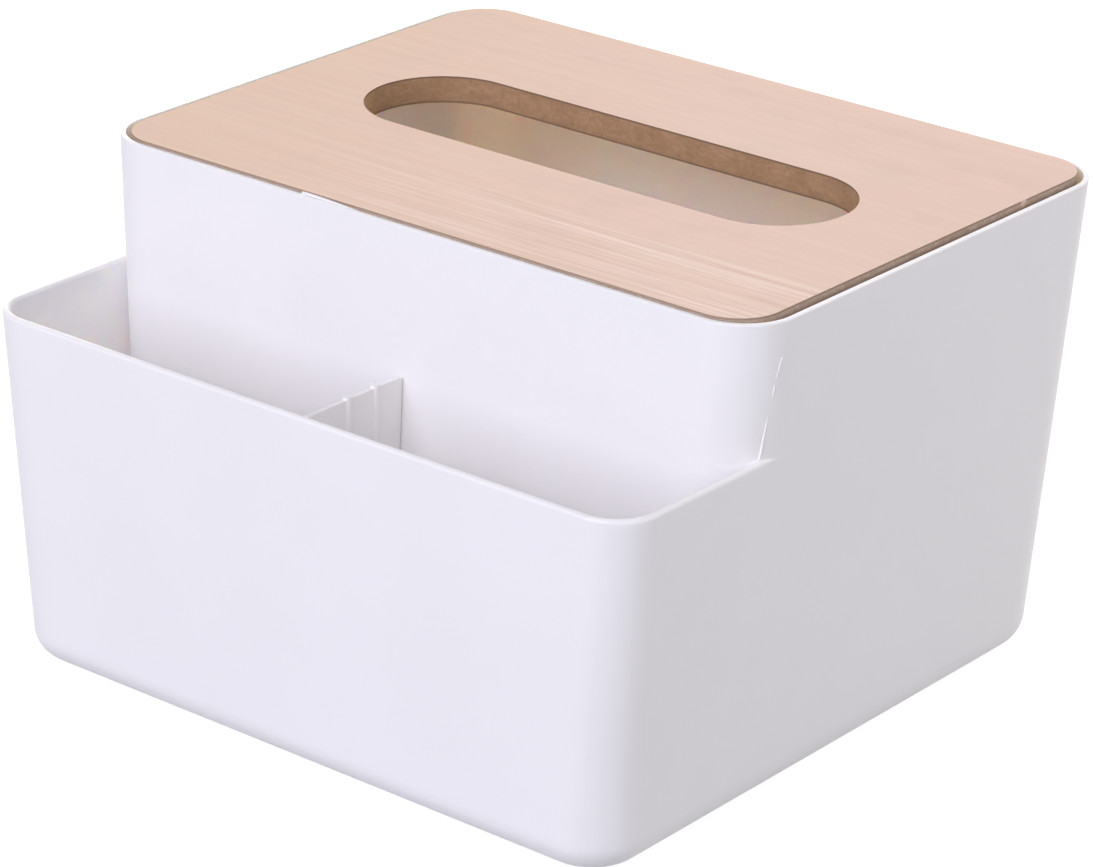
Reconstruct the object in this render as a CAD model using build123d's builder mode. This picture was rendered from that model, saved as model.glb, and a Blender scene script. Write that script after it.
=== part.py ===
"""Tissue box organizer: a moulded body with a front tray, a slot-in divider, and a loose lid of faced board.

Millimetres and degrees. +Z is up, the front looks towards -Y, and the origin is under the middle of the part.
"""
import os
from math import radians, tan

from build123d import *

os.makedirs("parts", exist_ok=True)

# Body, outside
rim_width = 200.0
chamber_depth = 142.9
tray_reach = 41.8
body_height = 123.3
tray_height = 90.3
side_draft = 3.5
back_draft = 1.2
chamber_front_draft = 2.55
tray_front_draft = 0.9
chamber_rim_corner = 14.4
chamber_base_corner = 18.5
tray_rim_corner = 12.0
tray_base_corner = 14.6
base_round = 8.0

# Body, walls
wall = 2.0
floor_thickness = 2.4
floor_round = 6.0
tray_rim_round = 0.9
chamber_rim_round = 0.4
rim_lip = 1.3
ledge_overhang = 5.0
ledge_thickness = 1.2
underside_recess = 0.6
foot_band = 20.0

# Lid
board_thickness = 6.0
veneer_thickness = 0.5
lid_side_gap = 2.4
lid_end_gap = 0.5
lid_corner = 11.5
lid_proud = 0.65
slot_length = 141.8
slot_width = 40.6
slot_set_back = 1.5

# Tray divider
divider_thickness = 1.2
divider_drop = 3.1
divider_corner = 0.8
divider_foot_extra = 6.0
divider_back_gap = 0.4
groove_depth = 0.7
floor_groove_depth = 0.8
groove_side_clearance = 0.15
groove_end_clearance = 0.2
column_diameter = 2.2
column_pitch = 9.6
column_count = 2
column_stand = 0.6

# Foot pads
pad_diameter = 12.0
pad_thickness = 1.8
pad_edge = 0.3
socket_depth = 0.8
socket_clearance = 0.2

# Heights
underside_z = pad_thickness - socket_depth
floor_z = underside_z + floor_thickness
rim_z = underside_z + body_height
tray_rim_z = underside_z + tray_height
lid_thickness = board_thickness + 2 * veneer_thickness
seat_z = rim_z + lid_proud - lid_thickness

# Front-to-back places at the rims
tray_front_rim = -(chamber_depth + tray_reach) / 2
chamber_back_rim = (chamber_depth + tray_reach) / 2
chamber_front_rim = chamber_back_rim - chamber_depth
chamber_middle = chamber_front_rim + chamber_depth / 2


def half_width(z):
    """The side walls' outer face, shared by the chamber and the tray."""
    return rim_width / 2 - (rim_z - z) * tan(radians(side_draft))


def chamber_front(z):
    """The chamber's front wall leans back towards its rim, so that the tray opens upwards."""
    return chamber_front_rim - (rim_z - z) * tan(radians(chamber_front_draft))


def chamber_back(z):
    return chamber_back_rim - (rim_z - z) * tan(radians(back_draft))


def tray_front(z):
    return tray_front_rim + (tray_rim_z - z) * tan(radians(tray_front_draft))


def corner(base, rim, z, top_z):
    """A corner radius that changes evenly from the underside to the rim."""
    return base + (rim - base) * (z - underside_z) / (top_z - underside_z)


def chamber_outline(z, inset):
    """The chamber's horizontal section at a height, moved in from its outer face."""
    front = chamber_front(z) + inset
    back = chamber_back(z) - inset
    radius = corner(chamber_base_corner, chamber_rim_corner, z, rim_z) - inset
    with Locations((0, (front + back) / 2)):
        RectangleRounded(2 * (half_width(z) - inset), back - front, radius)


def tray_outline(z, inset):
    """The tray tub's section; its back half lies inside the chamber."""
    front = tray_front(z) + inset
    back = chamber_middle - inset
    radius = corner(tray_base_corner, tray_rim_corner, z, tray_rim_z) - inset
    with Locations((0, (front + back) / 2)):
        RectangleRounded(2 * (half_width(z) - inset), back - front, radius)


def drafted_block(outline, low, high, inset_low=0.0, inset_high=0.0, mode=Mode.ADD):
    """Ruled block between an outline at two heights."""
    with BuildSketch(Plane.XY.offset(low)) as foot:
        outline(low, inset_low)
    with BuildSketch(Plane.XY.offset(high)) as top:
        outline(high, inset_high)
    loft([foot.sketch, top.sketch], ruled=True, mode=mode)


# Hollow of the tray tub, with a rounded floor edge
with BuildPart() as tray_hollow:
    drafted_block(tray_outline, floor_z, tray_rim_z, wall, wall)
    fillet(tray_hollow.faces().sort_by(Axis.Z)[0].edges(), floor_round)

# Tray tub by itself, with its rim rounded, before the chamber is set into its back half
with BuildPart() as tray_tub:
    drafted_block(tray_outline, underside_z, tray_rim_z)
    add(tray_hollow.part, mode=Mode.SUBTRACT)
    fillet(tray_tub.faces().sort_by(Axis.Z)[-1].edges(), tray_rim_round)

# Hollow of the chamber: room for the tissues, the lid's ledge with a sloping underside, and the lid's recess
ledge_inset = wall + ledge_overhang
ledge_z = seat_z - ledge_thickness
slope_z = ledge_z - ledge_overhang
with BuildPart() as chamber_hollow:
    drafted_block(chamber_outline, floor_z, slope_z, wall, wall)
    fillet(chamber_hollow.faces().sort_by(Axis.Z)[0].edges(), floor_round)
    drafted_block(chamber_outline, slope_z, ledge_z, wall, ledge_inset)
    drafted_block(chamber_outline, ledge_z, seat_z, ledge_inset, ledge_inset)
    drafted_block(chamber_outline, seat_z, rim_z, rim_lip, rim_lip)

# Divider: its front end stands in a groove in the tray's front wall, its foot in a groove in the floor,
# and its back end stops just short of the chamber's wall
divider_top_z = tray_rim_z - divider_drop
divider_foot_z = floor_z - floor_groove_depth


def divider_front(z, end_gap):
    """Front end of the divider, or the bottom of its groove when the gap is 0."""
    return tray_front(z) + wall - groove_depth + end_gap


def divider_back(z, end_gap):
    """Back end of the divider, or the chamber's wall when the gap is 0."""
    return chamber_front(z) - end_gap


# The front groove starts above the floor's round and is open at the rim; the floor groove starts behind it
groove_foot_z = floor_z + floor_round
groove_mouth_z = tray_rim_z + tray_rim_round
floor_groove_front = tray_front(floor_z) + wall + floor_round
with BuildPart() as divider_grooves:
    with BuildSketch(Plane.YZ):
        with BuildLine():
            Polyline(
                (divider_front(groove_foot_z, 0), groove_foot_z),
                (divider_front(groove_mouth_z, 0), groove_mouth_z),
                (divider_front(groove_mouth_z, wall), groove_mouth_z),
                (divider_front(groove_foot_z, wall), groove_foot_z),
                close=True,
            )
        make_face()
        with BuildLine():
            Polyline(
                (floor_groove_front, divider_foot_z),
                (floor_groove_front, floor_z),
                (divider_back(floor_z, 0), floor_z),
                (divider_back(floor_z, 0), divider_foot_z),
                close=True,
            )
        make_face()
    extrude(amount=divider_thickness / 2 + groove_side_clearance, both=True)

# Foot pads stand in the middle of the flat band round the underside
pad_inset = base_round + foot_band / 2
pad_x = half_width(underside_z) - pad_inset
pad_front_y = tray_front(underside_z) + pad_inset
pad_back_y = chamber_back(underside_z) - pad_inset
pad_places = {
    "foot_pad_front_left": (-pad_x, pad_front_y),
    "foot_pad_front_right": (pad_x, pad_front_y),
    "foot_pad_back_left": (-pad_x, pad_back_y),
    "foot_pad_back_right": (pad_x, pad_back_y),
}

with BuildPart() as body_shell:
    drafted_block(chamber_outline, underside_z, rim_z)
    fillet(body_shell.faces().sort_by(Axis.Z)[-1].edges(), chamber_rim_round)
    add(tray_tub.part)
    fillet(body_shell.faces().sort_by(Axis.Z)[0].edges(), base_round)
    add(chamber_hollow.part, mode=Mode.SUBTRACT)
    add(divider_grooves.part, mode=Mode.SUBTRACT)
    with BuildSketch(Plane.XY.offset(underside_z)):
        recess_inset = base_round + foot_band
        recess_front = tray_front(underside_z) + recess_inset
        recess_back = chamber_back(underside_z) - recess_inset
        recess_width = 2 * (half_width(underside_z) - recess_inset)
        with Locations((0, (recess_front + recess_back) / 2)):
            RectangleRounded(recess_width, recess_back - recess_front, foot_band / 2)
    extrude(amount=underside_recess, mode=Mode.SUBTRACT)
    with BuildSketch(Plane.XY.offset(underside_z)):
        with Locations(*pad_places.values()):
            Circle(pad_diameter / 2 + socket_clearance)
    extrude(amount=socket_depth, mode=Mode.SUBTRACT)
body_shell.part.label = "body_shell"
export_step(body_shell.part, "parts/body_shell.step")

# The divider's lower front corner is rounder than the floor's edge, and clears it
divider_foot_round = floor_round + divider_foot_extra
with BuildPart() as tray_divider:
    with BuildSketch(Plane.YZ):
        with BuildLine():
            Polyline(
                (divider_front(divider_foot_z, groove_end_clearance), divider_foot_z),
                (divider_front(divider_top_z, groove_end_clearance), divider_top_z),
                (divider_back(divider_top_z, divider_back_gap), divider_top_z),
                (divider_back(divider_foot_z, divider_back_gap), divider_foot_z),
                close=True,
            )
        make_face()
    extrude(amount=divider_thickness / 2, both=True)
    fillet(tray_divider.edges().filter_by(Axis.X).group_by(Axis.Z)[-1], divider_corner)
    lower_corners = tray_divider.edges().filter_by(Axis.X).group_by(Axis.Z)[0]
    fillet(lower_corners.sort_by(Axis.Y)[0], divider_foot_round)
    column_height = divider_top_z + column_stand - floor_z
    column_places = [
        (0, chamber_front(divider_top_z) - column_pitch * (k + 1), floor_z) for k in range(column_count)
    ]
    with Locations(*column_places):
        Cylinder(column_diameter / 2, column_height, align=(Align.CENTER, Align.CENTER, Align.MIN))
tray_divider.part.label = "tray_divider"
export_step(tray_divider.part, "parts/tray_divider.step")

# Lid: a board between two veneers, cut to one outline with one slot a little behind the middle
lid_width = rim_width - 2 * (rim_lip + lid_side_gap)
lid_depth = chamber_depth - 2 * (rim_lip + lid_end_gap)
lid_layers = {
    "lid_back_veneer": (seat_z, veneer_thickness),
    "lid_board": (seat_z + veneer_thickness, board_thickness),
    "lid_face_veneer": (seat_z + veneer_thickness + board_thickness, veneer_thickness),
}
for name, (bottom_z, thickness) in lid_layers.items():
    with BuildPart() as lid_layer:
        with BuildSketch(Plane.XY.offset(bottom_z)):
            with Locations((0, chamber_middle)):
                RectangleRounded(lid_width, lid_depth, lid_corner)
            with Locations((0, chamber_middle + slot_set_back)):
                SlotOverall(slot_length, slot_width, mode=Mode.SUBTRACT)
        extrude(amount=thickness)
    lid_layer.part.label = name
    export_step(lid_layer.part, f"parts/{name}.step")

for name, (x, y) in pad_places.items():
    with BuildPart() as foot_pad:
        with BuildSketch(Plane.XY):
            with Locations((x, y)):
                Circle(pad_diameter / 2)
        extrude(amount=pad_thickness)
        chamfer(foot_pad.edges().group_by(Axis.Z)[0], pad_edge)
    foot_pad.part.label = name
    export_step(foot_pad.part, f"parts/{name}.step")
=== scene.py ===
# %% [markdown]
# # Tissue box organizer
# A white moulded box for a pack of tissues, with an open tray across its front, a plate that divides the tray,
# and a loose lid of faced fibreboard with a long round-ended slot. The shapes come from the CAD model, so this
# lesson is about its surfaces: satin plastic, a pale wood face and a bare fibreboard edge, which have to look
# right from every side. It also adds the small moulding flaws that only a close look at the real box shows.

# %% Load the CAD model
from math import cos, radians, sin

import bpy
from mathutils import Matrix, Vector


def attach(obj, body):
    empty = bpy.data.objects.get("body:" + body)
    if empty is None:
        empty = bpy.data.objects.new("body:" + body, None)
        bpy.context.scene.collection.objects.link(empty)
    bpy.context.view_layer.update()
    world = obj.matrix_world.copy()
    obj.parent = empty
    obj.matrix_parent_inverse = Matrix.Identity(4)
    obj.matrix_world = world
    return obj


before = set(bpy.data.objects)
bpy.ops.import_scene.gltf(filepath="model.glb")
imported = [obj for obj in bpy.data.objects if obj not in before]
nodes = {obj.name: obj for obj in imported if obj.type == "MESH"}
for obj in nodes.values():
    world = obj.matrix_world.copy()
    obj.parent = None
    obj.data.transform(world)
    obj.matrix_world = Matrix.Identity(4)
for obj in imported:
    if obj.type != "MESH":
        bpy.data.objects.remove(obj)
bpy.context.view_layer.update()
scene = bpy.context.scene
scene.view_settings.view_transform = "Standard"
millimetre = 0.001
print("CAD nodes:", ", ".join(sorted(nodes)))

# %% [markdown]
# ## The camera
# The picture was taken from the front right, a little above the box, with a long lens, so that upright edges
# stay almost parallel. A camera can be placed by eye, but here its angles, distance and lens were worked out
# from the straight edges of the box, and the three axes of the camera are put straight into its matrix.

# %% Place the camera
photo_width = 1094
focal_pixels = 4545.5
view_azimuth = radians(38.808)
view_elevation = radians(22.910)
view_roll = radians(1.1495)
camera_place = (0.640767, -0.79446, 0.488451)

camera_data = bpy.data.cameras.new("photo_camera")
camera_data.sensor_fit = "HORIZONTAL"
camera_data.sensor_width = 36.0
camera_data.lens = focal_pixels * camera_data.sensor_width / photo_width
camera = bpy.data.objects.new("photo_camera", camera_data)
scene.collection.objects.link(camera)

back = Vector((
    sin(view_azimuth) * cos(view_elevation),
    -cos(view_azimuth) * cos(view_elevation),
    sin(view_elevation),
))
level = Vector((cos(view_azimuth), sin(view_azimuth), 0))
right = level * cos(view_roll) + back.cross(level) * sin(view_roll)
up = back.cross(right)
camera.matrix_world = Matrix((right, up, back)).transposed().to_4x4()
camera.location = camera_place
scene.camera = camera
print(f"Lens {camera_data.lens:.1f} mm at {camera.location.length:.2f} m from the origin")

# %% [markdown]
# ## Small helpers for shader nodes
# Every finish below is a tree of shader nodes. Adding a node, setting its sockets and linking it takes several
# lines each time, so a few short helpers do it. They only save typing: what they make can be clicked together
# by hand in the shader editor.

# %% Node helpers
def feed(tree, socket, value):
    """Link a socket to an input, or set the input to a plain value."""
    if isinstance(value, bpy.types.NodeSocket):
        tree.links.new(value, socket)
    else:
        socket.default_value = value


def add_node(tree, kind, values=None, **settings):
    """Add a shader node, set its settings, and feed its input sockets by name or number."""
    made = tree.nodes.new(kind)
    for setting, value in settings.items():
        setattr(made, setting, value)
    for socket, value in (values or {}).items():
        feed(tree, made.inputs[socket], value)
    return made


def compute(tree, operation, *operands):
    """A math node's result; each operand is a number or a socket."""
    return add_node(tree, "ShaderNodeMath", dict(enumerate(operands)), operation=operation).outputs[0]


def split(tree, vector):
    """The X, Y and Z of a vector, by name."""
    return add_node(tree, "ShaderNodeSeparateXYZ", {0: vector}).outputs


def fade(tree, value, start, end):
    """0 before start and 1 after end, with a smooth change between; end may be below start."""
    made = add_node(
        tree, "ShaderNodeMapRange", {"Value": value, "From Min": start, "From Max": end},
        interpolation_type="SMOOTHSTEP",
    )
    return made.outputs["Result"]


def mix_colours(tree, factor, first, second):
    """A colour between two colours; each is a socket or red, green and blue."""
    made = add_node(tree, "ShaderNodeMix", data_type="RGBA")
    feed(tree, made.inputs[0], factor)
    for socket, colour in ((made.inputs[6], first), (made.inputs[7], second)):
        feed(tree, socket, (*colour, 1.0) if isinstance(colour, tuple) else colour)
    return made.outputs[2]


def stretched_noise(tree, vector, cells, detail=2.0, roughness=0.5, offset=(0.0, 0.0, 0.0)):
    """Noise with its own number of cells per metre along each axis."""
    mapped = add_node(tree, "ShaderNodeMapping", {"Vector": vector, "Location": offset, "Scale": cells})
    made = add_node(
        tree, "ShaderNodeTexNoise",
        {"Vector": mapped.outputs[0], "Scale": 1.0, "Detail": detail, "Roughness": roughness},
    )
    return made.outputs["Fac"]


# %% Helpers for finishes and groups
def new_finish(name, values):
    """A material with one Principled shader; returns the material, its tree and the shader."""
    material = bpy.data.materials.new(name)
    material.use_nodes = True
    tree = material.node_tree
    tree.nodes.clear()
    output = tree.nodes.new("ShaderNodeOutputMaterial")
    shader = add_node(tree, "ShaderNodeBsdfPrincipled", values)
    tree.links.new(shader.outputs["BSDF"], output.inputs["Surface"])
    return material, tree, shader


def raise_surface(tree, shader, height):
    """A bump from a height in metres."""
    bump = add_node(tree, "ShaderNodeBump", {"Distance": 1.0, "Height": height})
    feed(tree, shader.inputs["Normal"], bump.outputs[0])


def new_group(name, inputs, outputs):
    """An empty shader node group with its sockets; returns its tree, its input node and its output node."""
    group = bpy.data.node_groups.new(name, "ShaderNodeTree")
    for socket, kind in inputs.items():
        group.interface.new_socket(socket, in_out="INPUT", socket_type=kind)
    for socket, kind in outputs.items():
        group.interface.new_socket(socket, in_out="OUTPUT", socket_type=kind)
    return group, group.nodes.new("NodeGroupInput"), group.nodes.new("NodeGroupOutput")


def place_group(tree, group, values):
    """A group placed in a material, with its own values."""
    made = tree.nodes.new("ShaderNodeGroup")
    made.node_tree = group
    for socket, value in values.items():
        feed(tree, made.inputs[socket], value)
    return made.outputs


def wear_finish(material, *names):
    """Give CAD nodes a finish through their material slots."""
    for name in names:
        nodes[name].material_slots[0].material = material
    print(material.name, "on", ", ".join(names))


number, vector = "NodeSocketFloat", "NodeSocketVector"

# %% [markdown]
# ## Moulded skin
# A satin moulding isn't a mirror: the steel of its mould was blasted, and left a skin of tiny soft dimples
# about half a millimetre across. The plastic also flows and cools unevenly, so its tone drifts very slightly
# over a few centimetres. Both could be drawn into each material, but the white plastic and the pads have such
# a skin at different sizes, so it is one group with two outputs, and each finish sets its own scale.

# %% Group: moulded skin
cloud_low, cloud_high = 0.3, 0.7

moulded_skin, given, result = new_group(
    "moulded_skin", {"Vector": vector, "Dimples": number, "Drift": number},
    {"Height": number, "Cloud": number},
)
dimples = add_node(moulded_skin, "ShaderNodeTexNoise", {
    "Vector": given.outputs["Vector"], "Scale": given.outputs["Dimples"], "Detail": 2.0, "Roughness": 0.45,
})
drift = add_node(moulded_skin, "ShaderNodeTexNoise", {
    "Vector": given.outputs["Vector"], "Scale": given.outputs["Drift"], "Detail": 1.5, "Roughness": 0.4,
})
cloud = fade(moulded_skin, drift.outputs["Fac"], cloud_low, cloud_high)
feed(moulded_skin, result.inputs["Height"], dimples.outputs["Fac"])
feed(moulded_skin, result.inputs["Cloud"], cloud)
print("Group", moulded_skin.name)

# %% [markdown]
# ## White plastic
# The body, the divider and the flash are the same white plastic. Its tone drifts between two close whites, the
# roughness goes with it, and the dimples are a bump of a few thousandths of a millimetre. All of them could
# share one material, but the divider is given a lighter and warmer white, painted light for the light that
# bounces onto it inside the tray, and the body also has a parting line and thin walls that glow. So a function
# makes the common part, and each piece gets its own on top of it.

# %% White plastic
dimples_per_metre = 2100.0
drifts_per_metre = 32.0
dimple_height = 0.006 * millimetre
satin_roughness, satin_drift = 0.42, 0.06
plastic_light = (0.930, 0.912, 0.915)
plastic_deep = (0.915, 0.897, 0.900)
# Painted light: the divider's whites are lighter and warmer than the body's, for the light bounced onto it
# inside the tray
divider_painted_light_pale = (0.970, 0.952, 0.935)
divider_painted_light_deep = (0.955, 0.937, 0.920)


def white_plastic(name, light=plastic_light, deep=plastic_deep):
    """White plastic; returns the material, its tree, its shader, and the height of its skin in metres."""
    material, tree, shader = new_finish(name, {"IOR": 1.49})
    place = tree.nodes.new("ShaderNodeTexCoord").outputs["Object"]
    skin = place_group(
        tree, moulded_skin, {"Vector": place, "Dimples": dimples_per_metre, "Drift": drifts_per_metre}
    )
    roughness = compute(tree, "MULTIPLY_ADD", skin["Cloud"], satin_drift, satin_roughness)
    feed(tree, shader.inputs["Base Color"], mix_colours(tree, skin["Cloud"], deep, light))
    feed(tree, shader.inputs["Roughness"], roughness)
    return material, tree, shader, compute(tree, "MULTIPLY", skin["Height"], dimple_height)


flash_finish, tree, shader, height = white_plastic("flash_white")
raise_surface(tree, shader, height)
divider_painted_light_finish, tree, shader, height = white_plastic("divider_white_painted_light", divider_painted_light_pale, divider_painted_light_deep)
raise_surface(tree, shader, height)
wear_finish(divider_painted_light_finish, "tray_divider")

# %% [markdown]
# ## The body's parting line
# The mould of the body closes along a line just behind the tray. Its two halves don't meet quite exactly, so
# each side wall has a shallow step there: the front stands a fraction of a millimetre proud, and the wall
# behind runs out softly over a few millimetres. A step this small could be cut into the mesh, but the CAD nodes
# stay as they are, so it is a bump. Its height is worked out in metres from the distance behind the line, and
# it is kept to the outside of the side walls, below the tray's rim.

# %% White plastic with the parting line
parting_at_rim = -44.9 * millimetre
parting_lean = 0.0743
tray_rim_z = 91.3 * millimetre
step_height = 0.16 * millimetre
step_runout = 5.0 * millimetre
rim_fade = 2.0 * millimetre
mostly_sideways = 0.5

body_finish, tree, shader, height = white_plastic("body_white")
coordinates = tree.nodes.new("ShaderNodeTexCoord")
place = split(tree, coordinates.outputs["Object"])
facing = split(tree, coordinates.outputs["Normal"])
above_rim = compute(tree, "SUBTRACT", place["Z"], tray_rim_z)
line_y = compute(tree, "MULTIPLY_ADD", above_rim, parting_lean, parting_at_rim)
behind = compute(tree, "MAXIMUM", compute(tree, "SUBTRACT", place["Y"], line_y), 0.0)
runout = compute(tree, "EXPONENT", compute(tree, "DIVIDE", behind, -step_runout))
outward_x = compute(tree, "MULTIPLY", compute(tree, "SIGN", place["X"]), facing["X"])
on_side = compute(tree, "GREATER_THAN", outward_x, mostly_sideways)
shown = compute(tree, "MULTIPLY", on_side, fade(tree, above_rim, 0.0, -rim_fade))
step = compute(tree, "MULTIPLY", compute(tree, "MULTIPLY", runout, shown), step_height)
raise_surface(tree, shader, compute(tree, "ADD", height, step))
wear_finish(body_finish, "body_shell")

# %% [markdown]
# ## Walls that glow
# The inside of the closed box is a soft beige and not black, because light comes in through its thin walls:
# warm light, because red gets further through the plastic than blue. Subsurface scattering gives that, with a
# reach that is longest for red. It could be turned on all over the body, but the outside hardly shows it, and
# it makes the picture slow and noisy. So it is only turned on where a wall looks inwards, and in the tray it
# fades out towards the rim, whose thin edge would turn blue.

# %% Glow on the inner faces of the walls
glow_by_colour = (1.0, 0.53, 0.26)
glow_reach = 9.0 * millimetre
turned_in_start, turned_in_end = -0.3, -0.7
tray_ends_y = -54.5 * millimetre
tray_glow_start, tray_glow_end = -1.5 * millimetre, -8.0 * millimetre

outward_y = compute(tree, "MULTIPLY", compute(tree, "SIGN", place["Y"]), facing["Y"])
inner = compute(
    tree, "MAXIMUM",
    fade(tree, outward_x, turned_in_start, turned_in_end),
    fade(tree, outward_y, turned_in_start, turned_in_end),
)
in_chamber = compute(tree, "GREATER_THAN", place["Y"], tray_ends_y)
well_below_rim = fade(tree, above_rim, tray_glow_start, tray_glow_end)
glow = compute(tree, "MULTIPLY", inner, compute(tree, "MAXIMUM", in_chamber, well_below_rim))
feed(tree, shader.inputs["Subsurface Weight"], glow)
feed(tree, shader.inputs["Subsurface Radius"], glow_by_colour)
feed(tree, shader.inputs["Subsurface Scale"], glow_reach)
print("Light reaches", round(glow_reach / millimetre, 1), "mm into", body_finish.name)

# %% [markdown]
# ## Straight grain
# The lid's face is a pale, straight-grained wood sheet. Its grain runs along the length of the lid in fine
# lines of one or two millimetres, some paler and some browner, with a few broad bands of slightly different
# tone. An image would show this at once, but it isn't wanted here: noise that is stretched some fifty times
# along the grain gives lines of the same kind at any distance. The lines also wander a little to the side, as
# grain does. The face and the hidden back sheet share it as a group.

# %% Group: straight grain
wander_cells = (9.0, 14.0, 1.0)
wander_width = 4.0 * millimetre
band_cells = (0.006, 0.10, 0.05)
line_cells = (0.016, 0.75, 0.05)
fibre_cells = (0.05, 3.2, 0.05)
grain_low, grain_high = 0.28, 0.72

straight_grain, given, result = new_group(
    "straight_grain", {"Vector": vector, "Lines": number, "Shift": vector},
    {"Band": number, "Line": number, "Fibre": number},
)
moved = add_node(
    straight_grain, "ShaderNodeVectorMath",
    {0: given.outputs["Vector"], 1: given.outputs["Shift"]}, operation="ADD",
).outputs[0]
wander = stretched_noise(straight_grain, moved, wander_cells, detail=1.0)
aside = compute(straight_grain, "MULTIPLY", compute(straight_grain, "SUBTRACT", wander, 0.5), wander_width)
aside_y = add_node(straight_grain, "ShaderNodeCombineXYZ", {"Y": aside}).outputs[0]
bent = add_node(straight_grain, "ShaderNodeVectorMath", {0: moved, 1: aside_y}, operation="ADD").outputs[0]
ruled = add_node(
    straight_grain, "ShaderNodeVectorMath", {0: bent, 3: given.outputs["Lines"]}, operation="SCALE"
).outputs[0]
band = stretched_noise(straight_grain, ruled, band_cells, detail=2.0)
line = stretched_noise(straight_grain, ruled, line_cells, detail=3.0, roughness=0.6)
fibre = stretched_noise(straight_grain, ruled, fibre_cells, detail=2.0, roughness=0.65)
for name, value in (("Band", band), ("Line", line), ("Fibre", fibre)):
    feed(straight_grain, result.inputs[name], fade(straight_grain, value, grain_low, grain_high))
print("Group", straight_grain.name)

# %% [markdown]
# ## Sanded outside, scorched slot
# The lid's outer edge was sawn and sanded, and is a pale greyish brown. The slot was cut with a router, which
# scorched its wall to a warmer and darker brown. The board and both sheets show that difference, so the place
# of a point is turned into a mask by a small group: 1 towards the outer edge, and 0 round the slot.

# %% Group: sanded outside
slot_middle_y = 22.4 * millimetre
beside_start, beside_end = 78 * millimetre, 84 * millimetre
before_start, before_end = 30 * millimetre, 40 * millimetre

sanded_outside, given, result = new_group("sanded_outside", {"Vector": vector}, {"Mask": number})
spot = split(sanded_outside, given.outputs["Vector"])
from_slot_x = compute(sanded_outside, "ABSOLUTE", spot["X"])
from_slot_y = compute(sanded_outside, "ABSOLUTE", compute(sanded_outside, "SUBTRACT", spot["Y"], slot_middle_y))
beside = fade(sanded_outside, from_slot_x, beside_start, beside_end)
before = fade(sanded_outside, from_slot_y, before_start, before_end)
feed(sanded_outside, result.inputs["Mask"], compute(sanded_outside, "MAXIMUM", beside, before))
print("Group", sanded_outside.name)

# %% [markdown]
# ## A knocked edge
# The lid's right edge has taken a knock: over two millimetres the brown of the saw cut is gone and pale wood
# shows. The face and the board both show it, so the spot is a small group that compares a point of the surface
# with the middle of the knock, and noise makes its outline ragged.

# %% Group: knocked spot
knock_place = Vector((96.3, 59.6, 124.5)) * millimetre
knock_size = 1.7 * millimetre
knock_rim, knock_core = 0.45 * knock_size, 0.2 * knock_size
splinter_cells = (1500.0, 1500.0, 1500.0)
splinter_reach = 1.2 * millimetre

knocked_spot, given, result = new_group("knocked_spot", {"Vector": vector}, {"Mask": number})
ragged = stretched_noise(knocked_spot, given.outputs["Vector"], splinter_cells, detail=2.0)
away = add_node(
    knocked_spot, "ShaderNodeVectorMath", {0: given.outputs["Vector"], 1: knock_place}, operation="DISTANCE"
).outputs["Value"]
reach = compute(knocked_spot, "MULTIPLY_ADD", ragged, -splinter_reach, away)
feed(knocked_spot, result.inputs["Mask"], fade(knocked_spot, reach, knock_rim, knock_core))
print("Group", knocked_spot.name)

# %% [markdown]
# ## Pale wood face
# The face goes from a brownish cream at its left front corner to a pinkish cream, with faint greyish clouds.
# Its lines are quiet, apart from a group of pale streaks near the front edge that comes up towards the right.
# It is sealed matt. Its cut edge is brown like the board, so the material looks at which way a face points and
# browns the upright ones.

# %% Colours and marks of the wood
wood_brownish = (0.780, 0.556, 0.420)
wood_pinkish = (0.838, 0.614, 0.501)
wood_deep = (0.670, 0.456, 0.345)
wood_pale = (0.930, 0.770, 0.680)
wood_grey = (0.715, 0.532, 0.450)
cut_sanded = (0.400, 0.290, 0.220)
cut_scorched = (0.260, 0.160, 0.100)
blush_start, blush_end, blush_slant = -115 * millimetre, 60 * millimetre, 0.5
streaks_start, streaks_end = -17 * millimetre, -23 * millimetre
streaks_left, streaks_right = -60 * millimetre, 30 * millimetre
grey_cells = (55.0, 80.0, 1.0)
grey_low, grey_high = 0.45, 0.75
grey_in_clouds, grey_in_bands = 0.30, 0.18

# Each mark: an output of the grain group, the end of its range, its strength on the quiet face, what the
# streaks add to it, and its colour
grain_marks = (
    ("Line", 0.0, 0.10, 0.30, wood_deep),
    ("Line", 1.0, 0.10, 0.62, wood_pale),
    ("Fibre", 0.0, 0.09, 0.22, wood_deep),
    ("Fibre", 1.0, 0.09, 0.42, wood_pale),
)
print(len(grain_marks), "kinds of grain marks")


# %% Tone of the wood
def wood_tone(tree, place, grain):
    """The face's colour: its blush, its grey clouds and bands, and the marks of the grain."""
    across = split(tree, place)
    near_front = fade(tree, across["Y"], streaks_start, streaks_end)
    towards_right = fade(tree, across["X"], streaks_left, streaks_right)
    lively = compute(tree, "MULTIPLY", near_front, towards_right)

    slant = compute(tree, "MULTIPLY_ADD", across["Y"], blush_slant, across["X"])
    tone = mix_colours(tree, fade(tree, slant, blush_start, blush_end), wood_brownish, wood_pinkish)
    clouds = fade(tree, stretched_noise(tree, place, grey_cells, detail=2.0), grey_low, grey_high)
    cloudy = compute(tree, "MULTIPLY", clouds, grey_in_clouds)
    greyed = compute(tree, "MULTIPLY_ADD", grain["Band"], grey_in_bands, cloudy)
    tone = mix_colours(tree, greyed, tone, wood_grey)
    for output, end, quiet, more, colour in grain_marks:
        strength = compute(tree, "MULTIPLY_ADD", lively, more, quiet)
        mark = compute(tree, "MULTIPLY", fade(tree, grain[output], 0.5, end), strength)
        tone = mix_colours(tree, mark, tone, colour)
    return tone


# %% Wood sheets
lines_per_metre = 620.0
wood_roughness, fibre_roughness = 0.66, 0.10
fibre_height = 0.012 * millimetre
mostly_flat = 0.5


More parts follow.
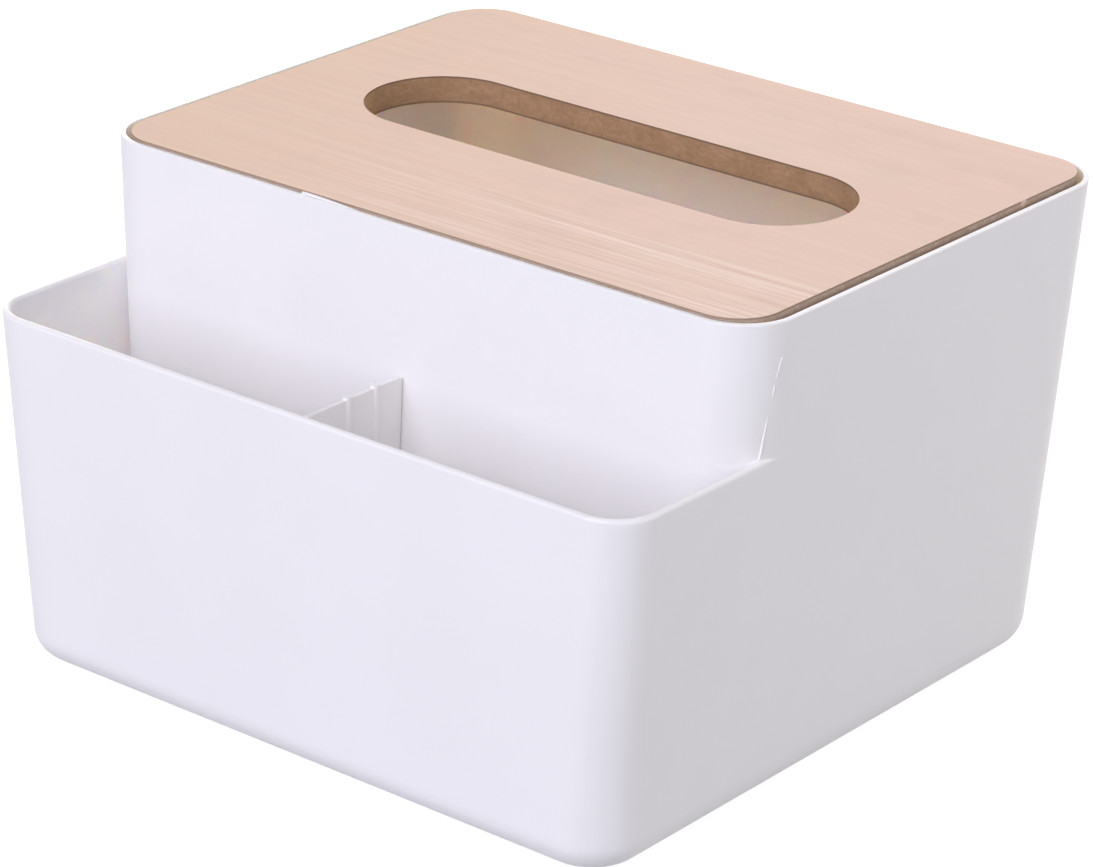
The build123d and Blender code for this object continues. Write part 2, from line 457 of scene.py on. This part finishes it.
def wood_sheet(name, shift):
    """Sealed wood sheet with brown cut edges; the shift gives each sheet a piece of grain of its own."""
    material, tree, shader = new_finish(name, {"IOR": 1.38})
    coordinates = tree.nodes.new("ShaderNodeTexCoord")
    place = coordinates.outputs["Object"]
    grain = place_group(tree, straight_grain, {"Vector": place, "Lines": lines_per_metre, "Shift": shift})
    tone = wood_tone(tree, place, grain)

    level = compute(tree, "ABSOLUTE", split(tree, coordinates.outputs["Normal"])["Z"])
    cut_edge = compute(tree, "LESS_THAN", level, mostly_flat)
    sound = compute(tree, "SUBTRACT", 1.0, place_group(tree, knocked_spot, {"Vector": place})["Mask"])
    brown = compute(tree, "MULTIPLY", cut_edge, sound)
    sanded = place_group(tree, sanded_outside, {"Vector": place})["Mask"]
    edge = mix_colours(tree, sanded, cut_scorched, cut_sanded)
    roughness = compute(tree, "MULTIPLY_ADD", grain["Fibre"], fibre_roughness, wood_roughness)
    feed(tree, shader.inputs["Base Color"], mix_colours(tree, brown, tone, edge))
    feed(tree, shader.inputs["Roughness"], roughness)
    raise_surface(tree, shader, compute(tree, "MULTIPLY", grain["Fibre"], fibre_height))
    return material


wear_finish(wood_sheet("wood_face", (0.0, 0.0, 0.0)), "lid_face_veneer")
wear_finish(wood_sheet("wood_back", (0.31, 0.17, 0.0)), "lid_back_veneer")

# %% [markdown]
# ## Bare fibreboard
# Between the two sheets the lid is fibreboard, which is seen on the lid's cut edge and on the wall of the slot.
# It is felted from wood fibre: brown, with pale and dark flecks of a millimetre or two. On the outer edge the
# board is painted darker towards its middle, which is the lower part that shows above the rim: painted shade
# for the shadow in the gap between the lid and the rim. Flecks could be scattered one by one, but noise that is
# a little stretched gives them at once, on every face.

# %% Bare fibreboard
board_middle_z = 121.45 * millimetre
# Painted shade for the gap under the lid's edge: the outer edge darkens towards the board's middle between
# these distances
gap_shade_start, gap_shade_end = 2.4 * millimetre, 1.2 * millimetre
slot_brown = (0.420, 0.243, 0.130)
slot_pale = (0.490, 0.300, 0.170)
slot_dark = (0.270, 0.148, 0.078)
sanded_brown = (0.540, 0.410, 0.320)
sanded_pale = (0.680, 0.545, 0.445)
sanded_fleck_and_shade_dark = (0.330, 0.235, 0.175)
fleck_cells = (650.0, 650.0, 1100.0)
clump_cells = (120.0, 120.0, 260.0)
dot_cells = (900.0, 900.0, 900.0)
dark_in_clumps, gap_shade_amount, dark_in_dots = 0.35, 0.7, 0.4
board_roughness, fleck_roughness = 0.75, 0.15
fleck_height = 0.08 * millimetre

board_finish, tree, shader = new_finish("bare_fibreboard", {"IOR": 1.4})
place = tree.nodes.new("ShaderNodeTexCoord").outputs["Object"]
flecks = stretched_noise(tree, place, fleck_cells, detail=4.0, roughness=0.7)
clumps = stretched_noise(tree, place, clump_cells, detail=3.0, roughness=0.6)
dots = stretched_noise(tree, place, dot_cells, detail=1.0, offset=(3.0, 1.0, 2.0))
from_middle = compute(tree, "ABSOLUTE", compute(tree, "SUBTRACT", split(tree, place)["Z"], board_middle_z))
sanded = place_group(tree, sanded_outside, {"Vector": place})["Mask"]
# Painted shade: on the outer edge only, darker towards the middle of the board, for the shadow in the gap under
# the lid's edge
painted_gap_shade = compute(tree, "MULTIPLY", sanded, fade(tree, from_middle, gap_shade_start, gap_shade_end))
plain = mix_colours(tree, sanded, slot_brown, sanded_brown)
pale = mix_colours(tree, sanded, slot_pale, sanded_pale)
dark_fleck_and_shade = mix_colours(tree, sanded, slot_dark, sanded_fleck_and_shade_dark)
tone = mix_colours(tree, fade(tree, flecks, 0.35, 0.68), plain, pale)
for mask, amount in (
    (fade(tree, clumps, 0.4, 0.7), dark_in_clumps),
    (painted_gap_shade, gap_shade_amount),
    (fade(tree, dots, 0.64, 0.74), dark_in_dots),
):
    tone = mix_colours(tree, compute(tree, "MULTIPLY", mask, amount), tone, dark_fleck_and_shade)
knocked = place_group(tree, knocked_spot, {"Vector": place})["Mask"]
roughness = compute(tree, "MULTIPLY_ADD", flecks, fleck_roughness, board_roughness)
feed(tree, shader.inputs["Base Color"], mix_colours(tree, knocked, tone, wood_pinkish))
feed(tree, shader.inputs["Roughness"], roughness)
raise_surface(tree, shader, compute(tree, "MULTIPLY", flecks, fleck_height))
wear_finish(board_finish, "lid_board")

# %% [markdown]
# ## Pad rubber
# The pads under the base are a grey foamed rubber. It is matt, with a coarse skin of its own, and picks up a
# little dust. It could have a noise of its own, but it is the same skin group as on the plastic, with larger
# and deeper dimples.

# %% Pad rubber
rubber_dark = (0.300, 0.300, 0.292)
rubber_dusty = (0.400, 0.398, 0.385)
rubber_dimples_per_metre = 1400.0
rubber_drifts_per_metre = 180.0
rubber_dimple_height = 0.06 * millimetre
dust_in_dimples, dust_in_clouds = 0.6, 0.4
rubber_roughness, rubber_drift = 0.80, 0.12

pad_finish, tree, shader = new_finish("grey_rubber", {"IOR": 1.5})
place = tree.nodes.new("ShaderNodeTexCoord").outputs["Object"]
skin = place_group(tree, moulded_skin, {
    "Vector": place, "Dimples": rubber_dimples_per_metre, "Drift": rubber_drifts_per_metre,
})
dusty_clouds = compute(tree, "MULTIPLY", skin["Cloud"], dust_in_clouds)
dust = compute(tree, "MULTIPLY_ADD", skin["Height"], dust_in_dimples, dusty_clouds)
roughness = compute(tree, "MULTIPLY_ADD", skin["Cloud"], rubber_drift, rubber_roughness)
feed(tree, shader.inputs["Base Color"], mix_colours(tree, dust, rubber_dark, rubber_dusty))
feed(tree, shader.inputs["Roughness"], roughness)
raise_surface(tree, shader, compute(tree, "MULTIPLY", skin["Height"], rubber_dimple_height))
wear_finish(pad_finish, *[name for name in nodes if name.startswith("foot_pad")])

# %% [markdown]
# ## Flash on the corner
# Above the tray's rim the parting line climbs the chamber's right front corner. There the mould leaked a
# little, and left a thin bead of flash that is thickest at its foot, where it hooks onto the rim, then breaks
# off, and comes back more faintly further up. A curve with a bevel would do, but modelled by hand it is easier
# to control: one small ring is extruded up the corner, and every new ring is moved and scaled.

# %% Bead of flash, ring by ring
ring_corners = 12


def extrude_bead(name, rings, turn):
    """A slim bead; a ring is its middle and radius in millimetres, and the turn sets how the rings face."""
    middles = [Vector(ring[:3]) * millimetre for ring in rings]
    radii = [ring[3] * millimetre for ring in rings]
    bpy.ops.object.select_all(action="DESELECT")
    bpy.ops.mesh.primitive_circle_add(
        vertices=ring_corners, radius=radii[0], fill_type="NGON", location=middles[0], rotation=turn
    )
    bead = bpy.context.object
    bead.name = name
    bpy.ops.object.transform_apply(location=True, rotation=True, scale=True)
    bpy.ops.object.mode_set(mode="EDIT")
    bpy.ops.mesh.select_all(action="SELECT")
    for k in range(1, len(rings)):
        growth = radii[k] / radii[k - 1]
        bpy.ops.mesh.extrude_region_move(TRANSFORM_OT_translate={"value": middles[k] - middles[k - 1]})
        bpy.ops.transform.resize(value=(growth, growth, growth), center_override=middles[k])
    bpy.ops.mesh.select_all(action="SELECT")
    bpy.ops.mesh.normals_make_consistent(inside=False)
    bpy.ops.object.mode_set(mode="OBJECT")
    round_off = bead.modifiers.new("round_off", "SUBSURF")
    round_off.levels = round_off.render_levels = 1
    bpy.ops.object.modifier_apply(modifier=round_off.name)
    bpy.ops.object.shade_smooth()
    bead.data.materials.append(flash_finish)
    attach(bead, "body")
    print(name, len(bead.data.polygons), "faces")


# %% Flash beads up the corner
flash_runs = {
    "flash_bead_low": [
        (96.42, -43.10, 91.2, 0.12), (96.76, -42.62, 91.7, 0.42), (96.98, -42.38, 94.0, 0.34),
        (97.17, -42.18, 96.2, 0.30), (97.40, -41.90, 98.6, 0.27), (97.63, -41.60, 100.7, 0.18),
        (97.76, -41.42, 101.9, 0.04),
    ],
    "flash_bead_mid": [
        (98.20, -40.82, 106.2, 0.04), (98.29, -40.70, 107.1, 0.21), (98.46, -40.45, 108.7, 0.19),
        (98.54, -40.34, 109.4, 0.04),
    ],
    "flash_bead_high": [
        (98.60, -40.22, 110.1, 0.04), (98.66, -40.10, 110.7, 0.15), (98.90, -39.66, 113.1, 0.20),
        (99.08, -39.25, 114.8, 0.27), (99.18, -39.00, 115.8, 0.06),
    ],
}
facing_up = (0.0, 0.0, 0.0)
for name, rings in flash_runs.items():
    extrude_bead(name, rings, facing_up)

# %% [markdown]
# ## Burr on the rim
# On the chamber's front rim, left of the middle, a burr leans over the gap towards the lid and hides the lid's
# dark edge for about a centimetre. It ends square on its left, where it was broken off, and runs out on its
# right. It could be pulled out of the rim itself, but it is the same kind of bead as the flash, so the same
# function makes it from rings that face along the rim.

# %% Rim burr
burr_rings = [
    (-33.8, -49.12, 124.42, 0.26), (-33.6, -49.14, 124.50, 0.33), (-30.0, -49.16, 124.50, 0.33),
    (-26.5, -49.18, 124.46, 0.30), (-23.5, -49.20, 124.38, 0.27), (-20.0, -49.26, 124.28, 0.24),
    (-16.0, -49.36, 124.16, 0.20), (-13.0, -49.45, 124.05, 0.10),
]
facing_along = (0.0, radians(90), 0.0)
extrude_bead("rim_burr", burr_rings, facing_along)

# %% [markdown]
# ## Floor and studio
# The box stands on a plain sheet. A white floor would throw much light up onto the box, so the sheet is a matt
# grey for the rays that carry light, and glows for the camera and for reflections, so that it comes out white.
# The glow is added to the matt floor and doesn't replace it, so the shadow under the box stays.

# %% Floor
sheet_size = 8.0
sheet_grey = (0.45, 0.45, 0.46, 1.0)
sheet_glow = 0.84
plain_white = (1.0, 1.0, 1.0, 1.0)


def camera_or_mirror(tree):
    """1 for rays from the camera, from a reflection or through glass, and 0 for the rays that carry light."""
    path = tree.nodes.new("ShaderNodeLightPath").outputs
    direct = compute(tree, "MAXIMUM", path["Is Camera Ray"], path["Is Glossy Ray"])
    return compute(tree, "MAXIMUM", direct, path["Is Transmission Ray"])


bpy.ops.object.select_all(action="DESELECT")
bpy.ops.mesh.primitive_plane_add(size=sheet_size)
floor = bpy.context.object
floor.name = "floor_sheet"

floor_finish = bpy.data.materials.new("pale_sheet")
floor_finish.use_nodes = True
tree = floor_finish.node_tree
tree.nodes.clear()
matt = add_node(tree, "ShaderNodeBsdfDiffuse", {"Color": sheet_grey})
level = compute(tree, "MULTIPLY", camera_or_mirror(tree), sheet_glow)
shine = add_node(tree, "ShaderNodeEmission", {"Color": plain_white, "Strength": level})
both = add_node(tree, "ShaderNodeAddShader", {0: matt.outputs[0], 1: shine.outputs[0]})
add_node(tree, "ShaderNodeOutputMaterial", {"Surface": both.outputs[0]})
floor.data.materials.append(floor_finish)
print(floor.name, "wears", floor_finish.name)

# %% [markdown]
# ## Light
# The picture has the soft, even light of a product studio. Two large lamps stand in front, one low and one
# high: the low one lights the front and leaves the tray in half shade, and the high one reaches the lid and the
# chamber. They are slightly cool. The right side gets a little from the front and a little from behind, so that
# it is darker than the front and brightens towards the back. On the left and behind, two more lamps light the
# walls that the camera doesn't see, and their light comes through into the box. One lamp and a bright room
# could do it all, but then every wall would have the same tone.

# %% Lamps
box_middle = Vector((0, 0, 0.07))
size_for_distance = 0.625


def softbox(name, azimuth, elevation, distance, power, tint):
    """A square lamp that looks at the middle of the box; azimuth 0 is straight in front of the tray."""
    data = bpy.data.lights.new(name, "AREA")
    data.shape = "SQUARE"
    data.size = size_for_distance * distance
    data.energy = power
    data.color = tint
    lamp = bpy.data.objects.new(name, data)
    scene.collection.objects.link(lamp)
    turn, rise = radians(azimuth), radians(elevation)
    towards = Vector((sin(turn) * cos(rise), -cos(turn) * cos(rise), sin(rise)))
    lamp.location = box_middle + towards * distance
    lamp.rotation_mode = "QUATERNION"
    lamp.rotation_quaternion = towards.to_track_quat("Z", "Y")
    print(name, power, "W")


softbox("softbox_front_low", 0, 22, 3.2, 41, (0.955, 0.970, 1.150))
softbox("softbox_front_high", 0, 43, 3.2, 34, (1.0, 0.995, 1.087))
softbox("softbox_right", 70, 20, 3.2, 13, (0.98, 0.99, 1.03))
softbox("softbox_right_back", 125, 20, 1.6, 6.2, (1.0, 0.97, 1.02))
softbox("softbox_left_back", -130, 14, 3.2, 48, (1.07, 1.0, 0.91))
softbox("softbox_backdrop", 180, 28, 3.2, 30, (1.03, 1.0, 0.97))

# %% [markdown]
# ## The room
# The room adds an even light, and is white where the camera or a reflection sees it. One plain background could
# only be one of these, so a mix chooses by the kind of ray. Inside a white box light goes to and fro many
# times, so Cycles may follow it for more diffuse bounces than usual.

# %% Room
room_tint = (1.02, 0.99, 0.99, 1.0)
room_level = 0.20

room = bpy.data.worlds.new("studio_room")
scene.world = room
room.use_nodes = True
tree = room.node_tree
tree.nodes.clear()
even = add_node(tree, "ShaderNodeBackground", {"Color": room_tint, "Strength": room_level})
white = add_node(tree, "ShaderNodeBackground", {"Color": plain_white, "Strength": 1.0})
choice = add_node(
    tree, "ShaderNodeMixShader", {0: camera_or_mirror(tree), 1: even.outputs[0], 2: white.outputs[0]}
)
add_node(tree, "ShaderNodeOutputWorld", {"Surface": choice.outputs[0]})
scene.cycles.diffuse_bounces = 8
print(room.name, "with", scene.cycles.diffuse_bounces, "diffuse bounces")
